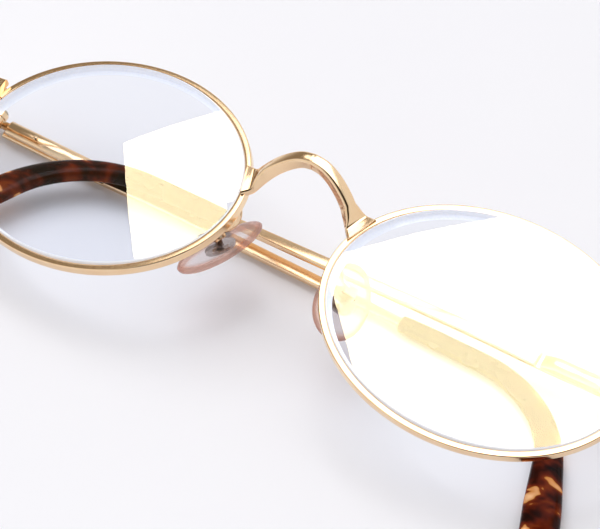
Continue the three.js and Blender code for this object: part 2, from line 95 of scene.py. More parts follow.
# Temple
CORE_Z = -1.25
BUTT_X = 1.6
HOUSING_SLOPE_START = 18.4
HOUSING_SLOPE = 2.2  # length of its sloped end
HOUSING_END = 20.9
HOUSING_BOTTOM = -1.1
HOUSING_TOP = 0.4
HOUSING_SLOPE_DROP = 1.05
HOUSING_HALF_HEIGHT = 1.25
STRIP_TOP = -1.16  # of the thinned strip under the housing
STRIP_STEP = 1.5  # between its sections
TIP_START = 75.0
BEND_START = 89.5
BEND_RADIUS = 20.0
BEND_ANGLE = 65 * DEG
TEMPLE_LENGTH = 140.0
TIP_ROLL = 14 * DEG

# Nose pads
PAD_CENTRE = Vector((-10.7, -2.7, -4.6))
PAD_LONG = Vector((0.25, 0.94, -0.25)).normalized()
PAD_OUTWARD = Vector((-0.43, 0.33, 0.84))
PAD_HALF_WIDTH = 4.2
PAD_HALF_LENGTH = 7.9
PAD_TAPER = 0.1  # share of its width lost towards its upper end
PAD_EDGE_START = 0.72  # where its rolled edge begins, as a share of the outline

# Camera, from the right hinge
VIEW_AZIMUTH = 32.39 * DEG
VIEW_ELEVATION = 45.43 * DEG
VIEW_ROLL = 1.81 * DEG
CAMERA_FROM_HINGE = Vector((232.38, -275.67, 332.48)) * MM
CAMERA_LENS = 185.2

# Lights: the softboxes' edges run along these directions from this corner, level above the glasses
CORNER = Vector((-270, 105, 0))
EDGE_DOWN = Vector((0.65, -0.76, 0)).normalized()
EDGE_RIGHT = Vector((0.76, 0.65, 0)).normalized()
SOFTBOX_HEIGHT = 300
LENS_PANEL = 27.0  # radiance of the panels that only a lens mirrors
METAL_PANEL = 2.2  # radiance of the panels for everything else
MIRROR_GAIN = 0.85  # an antireflective coating mirrors a little less than bare glass
MIRROR_LIMIT = 0.09  # so that a lens seen at a shallow angle stays clear
STUDIO_STRENGTH = 0.88
FAR_SIDE = Vector((-0.78, 0.12, 0.62)).normalized()  # the studio is dark this way, past the softboxes
TABLE_GAP = 0.02  # keeps the table top clear of what lies on it


# ---------------------------------------------------------------- frames
def joint(name):
    return next(j for j in frame["record"]["behaviour"]["joints"] if j["name"] == name)


def basis(x, y, z, origin):
    """Matrix from a local frame in millimetres to the row frame in metres."""
    columns = Matrix((x, y, z)).transposed().to_4x4()
    return Matrix.Translation(origin) @ columns @ Matrix.Scale(MM, 4)


RIGHT_PIVOT = Vector(joint("right_temple_fold")["pos_m"])
LEFT_PIVOT = Vector(joint("left_temple_fold")["pos_m"])
HINGE_AXIS = -Vector(joint("right_temple_fold")["axis"]).normalized()
ACROSS = (LEFT_PIVOT - RIGHT_PIVOT).normalized()
FORWARD = ACROSS.cross(HINGE_AXIS)
FRONT_ORIGIN = (RIGHT_PIVOT + LEFT_PIVOT) / 2 - (HINGE_AXIS * PIVOT_Y + FORWARD * PIVOT_Z) * MM
FRONT = basis(ACROSS, HINGE_AXIS, FORWARD, FRONT_ORIGIN)
PIVOT_X = -(LEFT_PIVOT - RIGHT_PIVOT).length / MM / 2
MIRROR = Matrix.Diagonal((-1, 1, 1, 1))


def front_place(side):
    """The front's frame, mirrored for the left, because each side is drawn as the right one."""
    return FRONT if side == "right" else FRONT @ MIRROR


def temple_place(side):
    travel = Vector(joint(f"{side}_spring_travel")["axis"]).normalized()
    along = -travel if side == "right" else travel
    up = (HINGE_AXIS - along * HINGE_AXIS.dot(along)).normalized()
    inward = along.cross(up) if side == "right" else up.cross(along)
    return basis(along, up, inward, RIGHT_PIVOT if side == "right" else LEFT_PIVOT)


def pad_place(side):
    outward = (PAD_OUTWARD - PAD_LONG * PAD_OUTWARD.dot(PAD_LONG)).normalized()
    local = Matrix((PAD_LONG.cross(outward), PAD_LONG, outward)).transposed().to_4x4()
    return front_place(side) @ Matrix.Translation(PAD_CENTRE) @ local


def rim_place(side):
    centre = Matrix.Translation((-LENS_CENTRE_X, 0, 0))
    return front_place(side) @ centre @ Matrix.Rotation(-WRAP, 4, "Y")


# ---------------------------------------------------------------- mesh helpers
def finish_mesh(name, bm, place, sharp=38):
    bm.transform(place)
    bmesh.ops.recalc_face_normals(bm, faces=bm.faces)
    mesh = bpy.data.meshes.new(name)
    bm.to_mesh(mesh)
    bm.free()
    mesh.polygons.foreach_set("use_smooth", [True] * len(mesh.polygons))
    mesh.set_sharp_from_angle(angle=sharp * DEG)
    piece = bpy.data.objects.new(name, mesh)
    bpy.context.scene.collection.objects.link(piece)
    return piece


def skin(name, rings, place, sharp=38):
    """A closed body through rings of equally many points, capped at both ends."""
    bm = bmesh.new()
    loops = [[bm.verts.new(p) for p in ring] for ring in rings]
    count = len(loops[0])
    for here, there in zip(loops, loops[1:]):
        for j in range(count):
            k = (j + 1) % count
            bm.faces.new((here[j], here[k], there[k], there[j]))
    bm.faces.new(loops[0])
    bm.faces.new(loops[-1])
    return finish_mesh(name, bm, place, sharp)


def dressed(node, bevel=0.07, sharp=38):
    """A copy of a CAD node with its facets merged and its edges rounded over."""
    bm = bmesh.new()
    bm.from_mesh(frame["nodes"][node].data)
    bmesh.ops.remove_doubles(bm, verts=bm.verts, dist=1e-7)
    bmesh.ops.dissolve_limit(bm, angle_limit=3 * DEG, verts=bm.verts, edges=bm.edges)
    edges = [e for e in bm.edges if len(e.link_faces) == 2 and e.calc_face_angle() > 40 * DEG]
    bmesh.ops.bevel(bm, geom=edges, offset=bevel * MM, segments=2, affect="EDGES", clamp_overlap=True)
    return finish_mesh(f"{node}_finish", bm, Matrix.Identity(4), sharp)


def superellipse(half_across, half_up, power, count=28):
    """Section points as (across, up): power 2 is an ellipse, more is squarer."""
    points = []
    for i in range(count):
        angle = 2 * math.pi * (i + 0.5) / count
        c, s = math.cos(angle), math.sin(angle)
        points.append((
            math.copysign(abs(c) ** (2 / power), c) * half_across,
            math.copysign(abs(s) ** (2 / power), s) * half_up,
        ))
    return points


def rounded_rect(half_across, half_up, radius, per_corner=5):
    points = []
    r = min(radius, half_across * 0.98, half_up * 0.98)
    for sx, sy, start in ((1, 1, 0), (-1, 1, 90), (-1, -1, 180), (1, -1, 270)):
        for i in range(per_corner):
            angle = (start + 90 * i / (per_corner - 1)) * DEG
            across, up = r * math.cos(angle), r * math.sin(angle)
            points.append((sx * (half_across - r) + across, sy * (half_up - r) + up))
    return points


def placed(section, at, across, up):
    return [at + across * p + up * q for p, q in section]


def blend_steps(table, s):
    """A value read off [(s, value), ...] with straight lines between the steps."""
    if s <= table[0][0]:
        return table[0][1]
    for (s0, a), (s1, b) in zip(table, table[1:]):
        if s <= s1:
            return a + (b - a) * (s - s0) / (s1 - s0)
    return table[-1][1]


def smooth(a, b, x):
    t = min(max((x - a) / (b - a), 0), 1)
    return t * t * (3 - 2 * t)


def catmull(points, count):
    """Evenly many points along a smooth curve through the given ones."""
    pts = [2 * points[0] - points[1], *points, 2 * points[-1] - points[-2]]
    out = []
    spans = len(points) - 1
    for i in range(count + 1):
        t = i / count * spans
        k = min(int(t), spans - 1)
        u = t - k
        p0, p1, p2, p3 = pts[k:k + 4]
        out.append(0.5 * (2 * p1 + (p2 - p0) * u + (2 * p0 - 5 * p1 + 4 * p2 - p3) * u ** 2
                          + (3 * p1 - p0 - 3 * p2 + p3) * u ** 3))
    return out


def tangents(line):
    last = len(line) - 1
    return [(line[min(i + 1, last)] - line[max(i - 1, 0)]).normalized() for i in range(len(line))]


# ---------------------------------------------------------------- materials
def new_material(name):
    material = bpy.data.materials.new(name)
    material.use_nodes = True
    tree = material.node_tree
    return material, tree, tree.nodes["Principled BSDF"]


def add_noise(tree, scale, detail=3, stretch=(1, 1, 1)):
    where = tree.nodes.new("ShaderNodeTexCoord")
    mapping = tree.nodes.new("ShaderNodeMapping")
    mapping.inputs["Scale"].default_value = stretch
    noise = tree.nodes.new("ShaderNodeTexNoise")
    noise.inputs["Scale"].default_value = scale
    noise.inputs["Detail"].default_value = detail
    tree.links.new(where.outputs["Object"], mapping.inputs["Vector"])
    tree.links.new(mapping.outputs["Vector"], noise.inputs["Vector"])
    return noise


def add_ramp(tree, source, stops):
    ramp = tree.nodes.new("ShaderNodeValToRGB")
    while len(ramp.color_ramp.elements) < len(stops):
        ramp.color_ramp.elements.new(0.5)
    for element, (at, colour) in zip(ramp.color_ramp.elements, stops):
        element.position = at
        element.color = (*colour, 1)
    tree.links.new(source, ramp.inputs["Fac"])
    return ramp


def add_range(tree, source, low, high):
    spread = tree.nodes.new("ShaderNodeMapRange")
    spread.inputs["To Min"].default_value = low
    spread.inputs["To Max"].default_value = high
    tree.links.new(source, spread.inputs["Value"])
    return spread.outputs["Result"]


def add_bump(tree, bsdf, source, strength, distance):
    bump = tree.nodes.new("ShaderNodeBump")
    bump.inputs["Strength"].default_value = strength
    bump.inputs["Distance"].default_value = distance
    tree.links.new(source, bump.inputs["Height"])
    tree.links.new(bump.outputs["Normal"], bsdf.inputs["Normal"])


def metal(name, light, dark, roughness, grain=0.25):
    """Plated metal: faint tone variation, uneven polish and a very fine tumbled grain."""
    material, tree, bsdf = new_material(name)
    bsdf.inputs["Metallic"].default_value = 1
    tone = add_noise(tree, 260, 4)
    colour = add_ramp(tree, tone.outputs["Fac"], [(0.3, dark), (0.7, light)])
    tree.links.new(colour.outputs["Color"], bsdf.inputs["Base Color"])
    polish = add_noise(tree, 900, 5)
    tree.links.new(add_range(tree, polish.outputs["Fac"], *roughness), bsdf.inputs["Roughness"])
    fine = add_noise(tree, 14000, 2)
    add_bump(tree, bsdf, fine.outputs["Fac"], grain, 0.00001)
    return material


def tortoiseshell():
    """Polished acetate: red-brown and near-black clouds, with more honey patches towards the end."""
    material, tree, bsdf = new_material("tortoiseshell_acetate")
    clouds = add_noise(tree, 210, 2, (1, 1.5, 0.8))
    clouds.inputs["Distortion"].default_value = 0.3
    length = tree.nodes.new("ShaderNodeAttribute")
    length.attribute_name = "along_tip"
    warmer = tree.nodes.new("ShaderNodeMath")
    warmer.operation = "MULTIPLY_ADD"
    warmer.inputs[1].default_value = 0.3
    tree.links.new(length.outputs["Fac"], warmer.inputs[0])
    tree.links.new(clouds.outputs["Fac"], warmer.inputs[2])
    ramp = add_ramp(tree, warmer.outputs["Value"], [
        (0.50, (0.005, 0.001, 0.001)), (0.61, (0.030, 0.003, 0.001)), (0.71, (0.11, 0.012, 0.003)),
        (0.77, (0.19, 0.030, 0.005)), (0.785, (0.62, 0.24, 0.06)), (0.87, (0.88, 0.52, 0.27)),
    ])
    tree.links.new(ramp.outputs["Color"], bsdf.inputs["Base Color"])
    fine = add_noise(tree, 1100, 4)
    tree.links.new(add_range(tree, fine.outputs["Fac"], 0.04, 0.12), bsdf.inputs["Roughness"])
    bsdf.inputs["Specular IOR Level"].default_value = 0.1
    add_bump(tree, bsdf, clouds.outputs["Fac"], 0.05, 0.0001)
    return material


def coated_glass():
    """A thin clear lens: a faint cool tint, with warm reflections added to what is behind it."""
    material, tree, bsdf = new_material("coated_lens")
    tree.nodes.remove(bsdf)
    clear = tree.nodes.new("ShaderNodeBsdfTransparent")
    faint = add_noise(tree, 60, 2)
    tint = add_ramp(tree, faint.outputs["Fac"], [
        (0.0, (0.94, 0.955, 0.98)), (1.0, (0.95, 0.963, 0.986)),
    ])
    tree.links.new(tint.outputs["Color"], clear.inputs["Color"])
    gloss = tree.nodes.new("ShaderNodeBsdfGlossy")
    gloss.inputs["Color"].default_value = (1.0, 0.85, 0.52, 1)
    gloss.inputs["Roughness"].default_value = 0.01
    fresnel = tree.nodes.new("ShaderNodeFresnel")
    fresnel.inputs["IOR"].default_value = 1.5
    side = tree.nodes.new("ShaderNodeNewGeometry")
    outside = add_range(tree, side.outputs["Backfacing"], MIRROR_GAIN, 0)
    share = tree.nodes.new("ShaderNodeMath")
    share.operation = "MULTIPLY"
    tree.links.new(fresnel.outputs["Fac"], share.inputs[0])
    tree.links.new(outside, share.inputs[1])
    limited = tree.nodes.new("ShaderNodeMath")
    limited.operation = "MINIMUM"
    limited.inputs[1].default_value = MIRROR_LIMIT
    tree.links.new(share.outputs["Value"], limited.inputs[0])
    mirror = tree.nodes.new("ShaderNodeMixShader")
    tree.links.new(limited.outputs["Value"], mirror.inputs["Fac"])
    tree.links.new(gloss.outputs["BSDF"], mirror.inputs[2])
    both = tree.nodes.new("ShaderNodeAddShader")
    tree.links.new(clear.outputs["BSDF"], both.inputs[0])
    tree.links.new(mirror.outputs["Shader"], both.inputs[1])
    tree.links.new(both.outputs["Shader"], tree.nodes["Material Output"].inputs["Surface"])
    return material


def silicone():
    """Clear soft silicone with a glossy surface, pinker along its rolled edge."""
    material, tree, bsdf = new_material("clear_silicone")
    tree.nodes.remove(bsdf)
    edge = tree.nodes.new("ShaderNodeAttribute")
    edge.attribute_name = "towards_edge"
    haze = add_noise(tree, 500, 3)
    uneven = tree.nodes.new("ShaderNodeMath")
    uneven.operation = "MULTIPLY_ADD"
    uneven.inputs[1].default_value = 0.2
    tree.links.new(haze.outputs["Fac"], uneven.inputs[0])
    tree.links.new(edge.outputs["Fac"], uneven.inputs[2])
    tint = add_ramp(tree, uneven.outputs["Value"], [
        (0.3, (0.93, 0.90, 0.90)), (0.6, (0.91, 0.82, 0.80)),
        (0.85, (0.82, 0.58, 0.49)), (1.0, (0.66, 0.38, 0.29)),
    ])
    clear = tree.nodes.new("ShaderNodeBsdfTransparent")
    tree.links.new(tint.outputs["Color"], clear.inputs["Color"])
    gloss = tree.nodes.new("ShaderNodeBsdfGlossy")
    gloss.inputs["Roughness"].default_value = 0.08
    fresnel = tree.nodes.new("ShaderNodeFresnel")
    fresnel.inputs["IOR"].default_value = 1.6
    side = tree.nodes.new("ShaderNodeNewGeometry")
    outside = add_range(tree, side.outputs["Backfacing"], 1, 0)
    share = tree.nodes.new("ShaderNodeMath")
    share.operation = "MULTIPLY"
    tree.links.new(fresnel.outputs["Fac"], share.inputs[0])
    tree.links.new(outside, share.inputs[1])
    cloud = tree.nodes.new("ShaderNodeBsdfDiffuse")
    cloud.inputs["Color"].default_value = (0.93, 0.76, 0.70, 1)
    body = tree.nodes.new("ShaderNodeMixShader")
    tree.links.new(add_range(tree, uneven.outputs["Value"], 0.03, 0.2), body.inputs["Fac"])
    tree.links.new(clear.outputs["BSDF"], body.inputs[1])
    tree.links.new(cloud.outputs["BSDF"], body.inputs[2])
    mix = tree.nodes.new("ShaderNodeMixShader")
    tree.links.new(share.outputs["Value"], mix.inputs["Fac"])
    tree.links.new(body.outputs["Shader"], mix.inputs[1])
    tree.links.new(gloss.outputs["BSDF"], mix.inputs[2])
    tree.links.new(mix.outputs["Shader"], tree.nodes["Material Output"].inputs["Surface"])
    return material


def ground_glass():
    """The lens's ground edge, which shows as a pale ring behind the rim; it has a painted glow, an
    emission in its own colour that keeps it pale inside the rim's shadow.
    """
    material, tree, bsdf = new_material("ground_lens_edge_painted_glow")
    grain = add_noise(tree, 3000, 2)
    colour = add_ramp(tree, grain.outputs["Fac"], [
        (0.3, (0.77, 0.80, 0.88)), (0.7, (0.83, 0.86, 0.93)),
    ])
    tree.links.new(colour.outputs["Color"], bsdf.inputs["Base Color"])
    bsdf.inputs["Roughness"].default_value = 0.6
    # painted glow: the edge emits light in its own colour, so it stays pale inside the rim's shadow
    bsdf.inputs["Emission Strength"].default_value = 0.36
    tree.links.new(colour.outputs["Color"], bsdf.inputs["Emission Color"])
    clear = tree.nodes.new("ShaderNodeBsdfTransparent")
    clear.inputs["Color"].default_value = (0.93, 0.95, 0.98, 1)
    side = tree.nodes.new("ShaderNodeNewGeometry")
    mix = tree.nodes.new("ShaderNodeMixShader")
    tree.links.new(add_range(tree, side.outputs["Backfacing"], 0, 0.1), mix.inputs["Fac"])
    tree.links.new(bsdf.outputs["BSDF"], mix.inputs[1])
    tree.links.new(clear.outputs["BSDF"], mix.inputs[2])
    tree.links.new(mix.outputs["Shader"], tree.nodes["Material Output"].inputs["Surface"])
    return material


GOLD = metal("satin_gold_plate", (0.95, 0.71, 0.46), (0.90, 0.63, 0.38), (0.10, 0.18))
STEEL = metal("screw_steel", (0.62, 0.52, 0.38), (0.5, 0.42, 0.3), (0.25, 0.4))
SPRING_STEEL = metal("spring_steel", (0.6, 0.6, 0.6), (0.5, 0.5, 0.5), (0.25, 0.4))
PAD_METAL = metal("pad_plate", (0.42, 0.36, 0.35), (0.3, 0.25, 0.24), (0.12, 0.2))
LENS = coated_glass()
GROUND_EDGE_PAINTED_GLOW = ground_glass()
SILICONE = silicone()
ACETATE = tortoiseshell()


def dress(piece, material, body, slot, *nodes):
    """Gives a piece its material and body and hides the CAD nodes that it stands for; slot is not
    used.
    """
    piece.data.materials.clear()
    piece.data.materials.append(material)
    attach(piece, body)
    if nodes:
        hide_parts(*nodes)
    return piece


# ---------------------------------------------------------------- rim and lens
def rim_point(angle, out, z):
    c, s = math.cos(angle), math.sin(angle)
    normal = Vector((c / LENS_SEMI_WIDTH, s / LENS_SEMI_HEIGHT)).normalized()
    return Vector((LENS_SEMI_WIDTH * c + out * normal.x, LENS_SEMI_HEIGHT * s + out * normal.y, z))


def rim_section():
    """Rim wire as (out, forward): a rounded rectangle with a V groove for the lens on its inside."""
    middle = -RIM_DEPTH / 2
    per_corner = 6
    outline = rounded_rect(RIM_WIDTH / 2, RIM_DEPTH / 2, RIM_CORNER, per_corner)
    section = [(p - RIM_WIDTH / 2, q + middle) for p, q in outline]
    groove = [(-RIM_WIDTH, middle + GROOVE_DEPTH), (-RIM_WIDTH + GROOVE_DEPTH, middle),
              (-RIM_WIDTH, middle - GROOVE_DEPTH)]
    inside = 2 * per_corner  # the groove is between the second corner and the third
    return section[:inside] + groove + section[inside:]


def rim(side):
    split = math.pi - math.asin(RIM_SPLIT_Y / LENS_SEMI_HEIGHT)
    half_gap = SPLIT_GAP / LENS_SEMI_HEIGHT
    steps = 200
    section = rim_section()
    rings = []
    for i in range(steps + 1):
        angle = split + half_gap + (2 * math.pi - 2 * half_gap) * i / steps
        rings.append([rim_point(angle, out, z) for out, z in section])
    piece = skin(f"{side}_rim_wire", rings, rim_place(side))
    dress(piece, GOLD, "front", "gold", f"{side}_rim")


def lens(side):
    """A meniscus lens: gently curved front and back, with a bevelled edge in the rim's groove."""
    steps = 160
    edge_bands = 5  # bands of faces from the front's chamfer to the back
    middle = -RIM_DEPTH / 2
    edge = -RIM_WIDTH - LENS_CLEARANCE

    def ring(scale, out, height):
        points = []
        for i in range(steps):
            p = rim_point(2 * math.pi * i / steps, out, 0)
            x, y = p.x * scale, p.y * scale
            points.append(Vector((x, y, height(x * x + y * y))))
        return points

    top = middle + LENS_THICKNESS / 2 - LENS_LOWERED
    span = (LENS_SEMI_WIDTH + edge) ** 2

    def front(r2):
        return top + (span - r2) / (2 * LENS_RADIUS)

    def back(r2):
        return front(r2) - LENS_THICKNESS

    scales = [0.02] + [0.08 * k for k in range(1, 13)]
    rings = [ring(s, edge, front) for s in scales]
    rings += [ring(0.993, edge, front), ring(1, edge, lambda r2: front(r2) - LENS_CHAMFER)]
    rings += [ring(1, edge, lambda r2: middle + GROOVE_DEPTH - LENS_CLEARANCE)]
    rings += [ring(1, edge + GROOVE_DEPTH - LENS_CLEARANCE, lambda r2: middle)]
    rings += [ring(1, edge, lambda r2: middle - GROOVE_DEPTH + LENS_CLEARANCE)]
    rings += [ring(s, edge, back) for s in reversed(scales)]
    piece = skin(f"{side}_lens_blank", rings, rim_place(side), sharp=30)
    dress(piece, LENS, "front", "lens", f"{side}_lens")
    piece.data.materials.append(GROUND_EDGE_PAINTED_GLOW)
    first = len(scales) * steps
    for face in piece.data.polygons:
        face.material_index = int(first <= face.index < first + edge_bands * steps)
    return piece


# ---------------------------------------------------------------- bridge
def bridge_section(wide, high):
    """A softly squared rod with a gently domed front."""
    section = []
    for p, q in rounded_rect(wide, high, BRIDGE_CORNER, 8):
        section.append((p, q + BRIDGE_DOME * (1 - (p / wide) ** 2) if q > 0 else q))
    return section


def bridge():
    line = catmull([Vector(p) for p in (
        (0, 9.88, 7.97), (1.9, 9.7, 7.62), (3.8, 9.08, 6.76), (5.7, 8.07, 5.53),
        (7.3, 6.95, 4.1), (8.7, 6.05, 2.64), (10.15, 5.28, 2.74))], 60)
    foot_across = Vector((1.92, 5, -0.2)).normalized()
    half = []
    for i, (at, tangent) in enumerate(zip(line, tangents(line))):
        t = i / (len(line) - 1)
        if i == 0:
            tangent = Vector((1, 0, 0))
        flare = max((t - FLARE_START) / (1 - FLARE_START), 0)
        across = (Vector((0, 1, 0)) - tangent * tangent.y).normalized()
        across = across.lerp(foot_across, flare).normalized()
        up = tangent.cross(across).lerp(Vector((0, 0, 1)) - across * across.z, flare).normalized()
        wide = BRIDGE_HALF + (FOOT_HALF_WIDTH - BRIDGE_HALF) * flare
        high = BRIDGE_HALF + (FOOT_HALF_HEIGHT - BRIDGE_HALF) * flare
        section = bridge_section(wide, high)
        half.append((at, across, up, section))

    def flip(v):
        return Vector((-v.x, v.y, v.z))

    rings = [
        placed(section, flip(at), flip(across), flip(up))
        for at, across, up, section in reversed(half)
    ]
    rings += [placed(section, at, across, up) for at, across, up, section in half[1:]]
    piece = skin("saddle_bridge", rings, FRONT)
    dress(piece, GOLD, "front", "gold", "bridge")


# ---------------------------------------------------------------- end pieces and small hardware
def end_piece(side):
    x = PIVOT_X - END_PIECE_GAP - END_PIECE_THICKNESS / 2
    wide, narrow = END_PIECE_HALF_HEIGHTS
    line = catmull([Vector(p) for p in (
        (-56, 0, -2.15), (-58, 0, -2.45), (-60.4, 0, -3.8), (x + 0.15, 0, -6.2),
        (x, 0, -9), (x, 0, PIVOT_Z - 1.15))], 48)
    rings = []
    for i, (at, tangent) in enumerate(zip(line, tangents(line))):
        t = i / (len(line) - 1)
        across = Vector((tangent.z, 0, -tangent.x))
        section = rounded_rect(END_PIECE_THICKNESS / 2, wide + (narrow - wide) * t, STRIP_CORNER)
        rings.append(placed(section, at + Vector((0, PIVOT_Y, 0)), across, Vector((0, 1, 0))))
    piece = skin(f"{side}_end_piece_strap", rings, front_place(side))
    dress(piece, GOLD, "front", "gold", f"{side}_end_piece")


def spring_housing(side):
    """The hinge spring's housing: a well-rounded bar whose end slopes down to the strip."""
    rings = []
    for x, shrink in (
        (2.3, 0.14), (2.36, 0.06), (2.48, 0), (HOUSING_SLOPE_START, 0),
        (18.9, 0.03), (20.3, 0.06), (20.6, 0.16),
    ):
        top = HOUSING_TOP - max(x - HOUSING_SLOPE_START, 0) / HOUSING_SLOPE * HOUSING_SLOPE_DROP
        half = (top - HOUSING_BOTTOM) / 2
        outline = superellipse(HOUSING_HALF_HEIGHT * (1 - shrink), half * (1 - shrink), 2.5, 40)
        rings.append([Vector((x, p, q + HOUSING_BOTTOM + half)) for p, q in outline])
    piece = skin(f"{side}_housing_shell", rings, temple_place(side))
    dress(piece, GOLD, f"{side}_temple", "gold", f"{side}_spring_housing")


def small_hardware(side):
    for node, material, body, slot, bevel in (
        ("rim_lock_upper", GOLD, "front", "gold", 0.12),
        ("rim_lock_lower", GOLD, "front", "gold", 0.12),
        ("rim_lock_screw", STEEL, "front", "screw_steel", 0.05),
        ("hinge_lugs", GOLD, "front", "gold", 0.08),
        ("hinge_screw", STEEL, "front", "screw_steel", 0.05),
        ("pad_box", GOLD, "front", "gold", 0.08),
        ("pad_screw", STEEL, "front", "screw_steel", 0.03),
        ("pad_core", PAD_METAL, f"{side}_pad", "pad_metal", 0.08),
        ("spring_bush", SPRING_STEEL, f"{side}_temple", "spring_steel", 0.03),
        ("dimple_pin", GOLD, f"{side}_temple", "gold", 0.02),
        ("spring_slider", GOLD, f"{side}_slider", "spring_steel", 0.05),
    ):
        name = f"{side}_{node}"
        dress(dressed(name, bevel), material, body, slot, name)
    coil = frame["nodes"][f"{side}_hinge_spring"].data  # the spring is shown by its CAD node
    coil.materials.clear()
    coil.materials.append(SPRING_STEEL)


# ---------------------------------------------------------------- nose pads
def nose_pad(side):
    """A drop-shaped silicone pad: flat towards its box, domed towards the nose, with a rolled edge."""
    steps = 72

    def ring(scale, z):
        points = []
        for i in range(steps):
            angle = 2 * math.pi * i / steps
            c, s = math.cos(angle), math.sin(angle)
            width = PAD_HALF_WIDTH * (1 - PAD_TAPER * s)
            points.append(Vector((scale * width * c, scale * PAD_HALF_LENGTH * s, z)))
        return points

    profile = [
        (0.05, 0.72), (0.45, 0.72), (0.75, 0.7), (0.88, 0.6), (0.96, 0.38), (1.0, 0.05),
        (0.985, -0.3), (0.93, -0.58), (0.8, -0.85), (0.6, -1.05), (0.35, -1.17), (0.05, -1.22),
    ]
    piece = skin(f"{side}_silicone_pad", [ring(s, z) for s, z in profile], pad_place(side), sharp=60)
    shares = [smooth(PAD_EDGE_START, 1, s) for s, z in profile for _ in range(steps)]
    piece.data.attributes.new("towards_edge", "FLOAT", "POINT").data.foreach_set("value", shares)
    dress(piece, SILICONE, f"{side}_pad", "silicone", f"{side}_nose_pad")


def pad_arm(side):
    line = catmull([Vector(p) for p in (
        (-8.9, 1.5, 1.1), (-8.8, 0.8, 0), (-9.2, -0.1, -1.1),
        (-10.3, -1.1, -1.9), (-11.65, -1.72, -2.1))], 40)
    rings = []
    for at, tangent in zip(line, tangents(line)):
        across = Vector((0, 1, 0)).cross(tangent).normalized()
        section = superellipse(PAD_ARM_RADIUS, PAD_ARM_RADIUS, 2, 20)
        rings.append(placed(section, at, across, tangent.cross(across)))
    piece = skin(f"{side}_pad_arm_wire", rings, front_place(side))
    dress(piece, GOLD, "front", "gold", f"{side}_pad_arm")


# ---------------------------------------------------------------- temples
def wire_point(s):
    """Where the temple's mid-line is at length s, with the directions across and along its height."""
    x, drop, heading = s, 0.0, 0.0
    if s > BEND_START:
        heading = min((s - BEND_START) / BEND_RADIUS, BEND_ANGLE)
        x = BEND_START + BEND_RADIUS * math.sin(heading)
        drop = BEND_RADIUS * (1 - math.cos(heading))
        straight = s - BEND_START - BEND_RADIUS * BEND_ANGLE
        if straight > 0:
            x += straight * math.cos(heading)
            drop += straight * math.sin(heading)
    roll = TIP_ROLL * smooth(55, TIP_START, s)
    normal = Vector((0, math.sin(roll), math.cos(roll)))
    downhill = Vector((0, -math.cos(TIP_ROLL), math.sin(TIP_ROLL)))
    forward = Vector((math.cos(heading), 0, 0)) + downhill * math.sin(heading)
    return Vector((x, 0, CORE_Z)) + downhill * drop, normal, normal.cross(forward)


WIRE_HALF_HEIGHT = [
    (BUTT_X, 1.35), (21, 1.35), (32, 1.02), (58, 0.95), (70, 0.88), (TIP_START, 0.82), (80, 0.6),
]
WIRE_HALF_THICKNESS = [(45, 0.6), (70, 0.55), (TIP_START, 0.5)]
TIP_HALF_WIDTH = [
    (TIP_START, 1.2), (77, 1.42), (84, 1.52), (95, 1.65), (108, 2.0), (120, 2.8), (131, 3.0),
    (136, 2.6), (138.5, 1.85), (139.6, 1.0), (TEMPLE_LENGTH, 0.35),
]
TIP_UNDER = [(TIP_START, 1.15), (80, 1.35), (134, 1.35), (138.5, 1.0), (TEMPLE_LENGTH, 0.25)]
TIP_OVER = [(TIP_START, 1.1), (80, 1.3), (108, 1.35), (134, 1.2), (138.5, 0.9), (TEMPLE_LENGTH, 0.25)]


def temple_strip(side):
    """The gold strip from the hinge into the tip, thinned under the spring housing."""
    stops = [BUTT_X + 0.02, BUTT_X + 0.3] + [4 + STRIP_STEP * i for i in range(12)]
    stops += [HOUSING_END + 0.3, HOUSING_END + 0.7]
    stops += [22.5 + STRIP_STEP * i for i in range(73)]
    rings = []
    for s in stops:
        at, across, up = wire_point(s)
        thick = blend_steps(WIRE_HALF_THICKNESS, s)
        high = blend_steps(WIRE_HALF_HEIGHT, s)
        low, top = -thick, thick
        if s < HOUSING_END + 0.5:
            top = STRIP_TOP - CORE_Z
        section = rounded_rect((top - low) / 2, high, STRIP_CORNER, 6)
        rings.append(placed(section, at + across * (low + top) / 2, across, up))
    piece = skin(f"{side}_temple_strip", rings, temple_place(side))
    dress(piece, GOLD, f"{side}_temple", "gold", f"{side}_temple")


def temple_tip(side):
    """The acetate tip: a polished, flattened rod round the strip, widening towards a rounded end."""
    stops = [TIP_START + 0.6, TIP_START + 0.75, TIP_START + 1.1] + [76.5 + 0.75 * i for i in range(80)]
    stops += [137, 137.8, 138.5, 139.0, 139.4, 139.7, 139.9, TEMPLE_LENGTH]
    rings = []
    for s in stops:
        at, across, up = wire_point(s)
        under = blend_steps(TIP_UNDER, s)
        over = blend_steps(TIP_OVER, s)
        wide = blend_steps(TIP_HALF_WIDTH, s)
        section = superellipse((over + under) / 2, wide, 2.5, 36)
        rings.append(placed(section, at + across * (over - under) / 2, across, up))
    piece = skin(f"{side}_acetate_tip", rings, temple_place(side))
    count = len(rings[0])
    shares = [(s - TIP_START) / (TEMPLE_LENGTH - TIP_START) for s in stops for _ in range(count)]
    piece.data.attributes.new("along_tip", "FLOAT", "POINT").data.foreach_set("value", shares)
    dress(piece, ACETATE, f"{side}_temple", "tortoiseshell", f"{side}_temple_tip")


# ---------------------------------------------------------------- stage, lights and camera
def look_matrix():
    sa, ca = math.sin(VIEW_AZIMUTH), math.cos(VIEW_AZIMUTH)
    se, ce = math.sin(VIEW_ELEVATION), math.cos(VIEW_ELEVATION)
    back = Vector((sa * ce, -ca * ce, se))
    level = Vector((ca, sa, 0))
    above = back.cross(level)
    right = level * math.cos(VIEW_ROLL) + above * math.sin(VIEW_ROLL)
    up = above * math.cos(VIEW_ROLL) - level * math.sin(VIEW_ROLL)
    turn = Matrix((right, up, back)).transposed().to_4x4()
    return Matrix.Translation(RIGHT_PIVOT + CAMERA_FROM_HINGE) @ turn


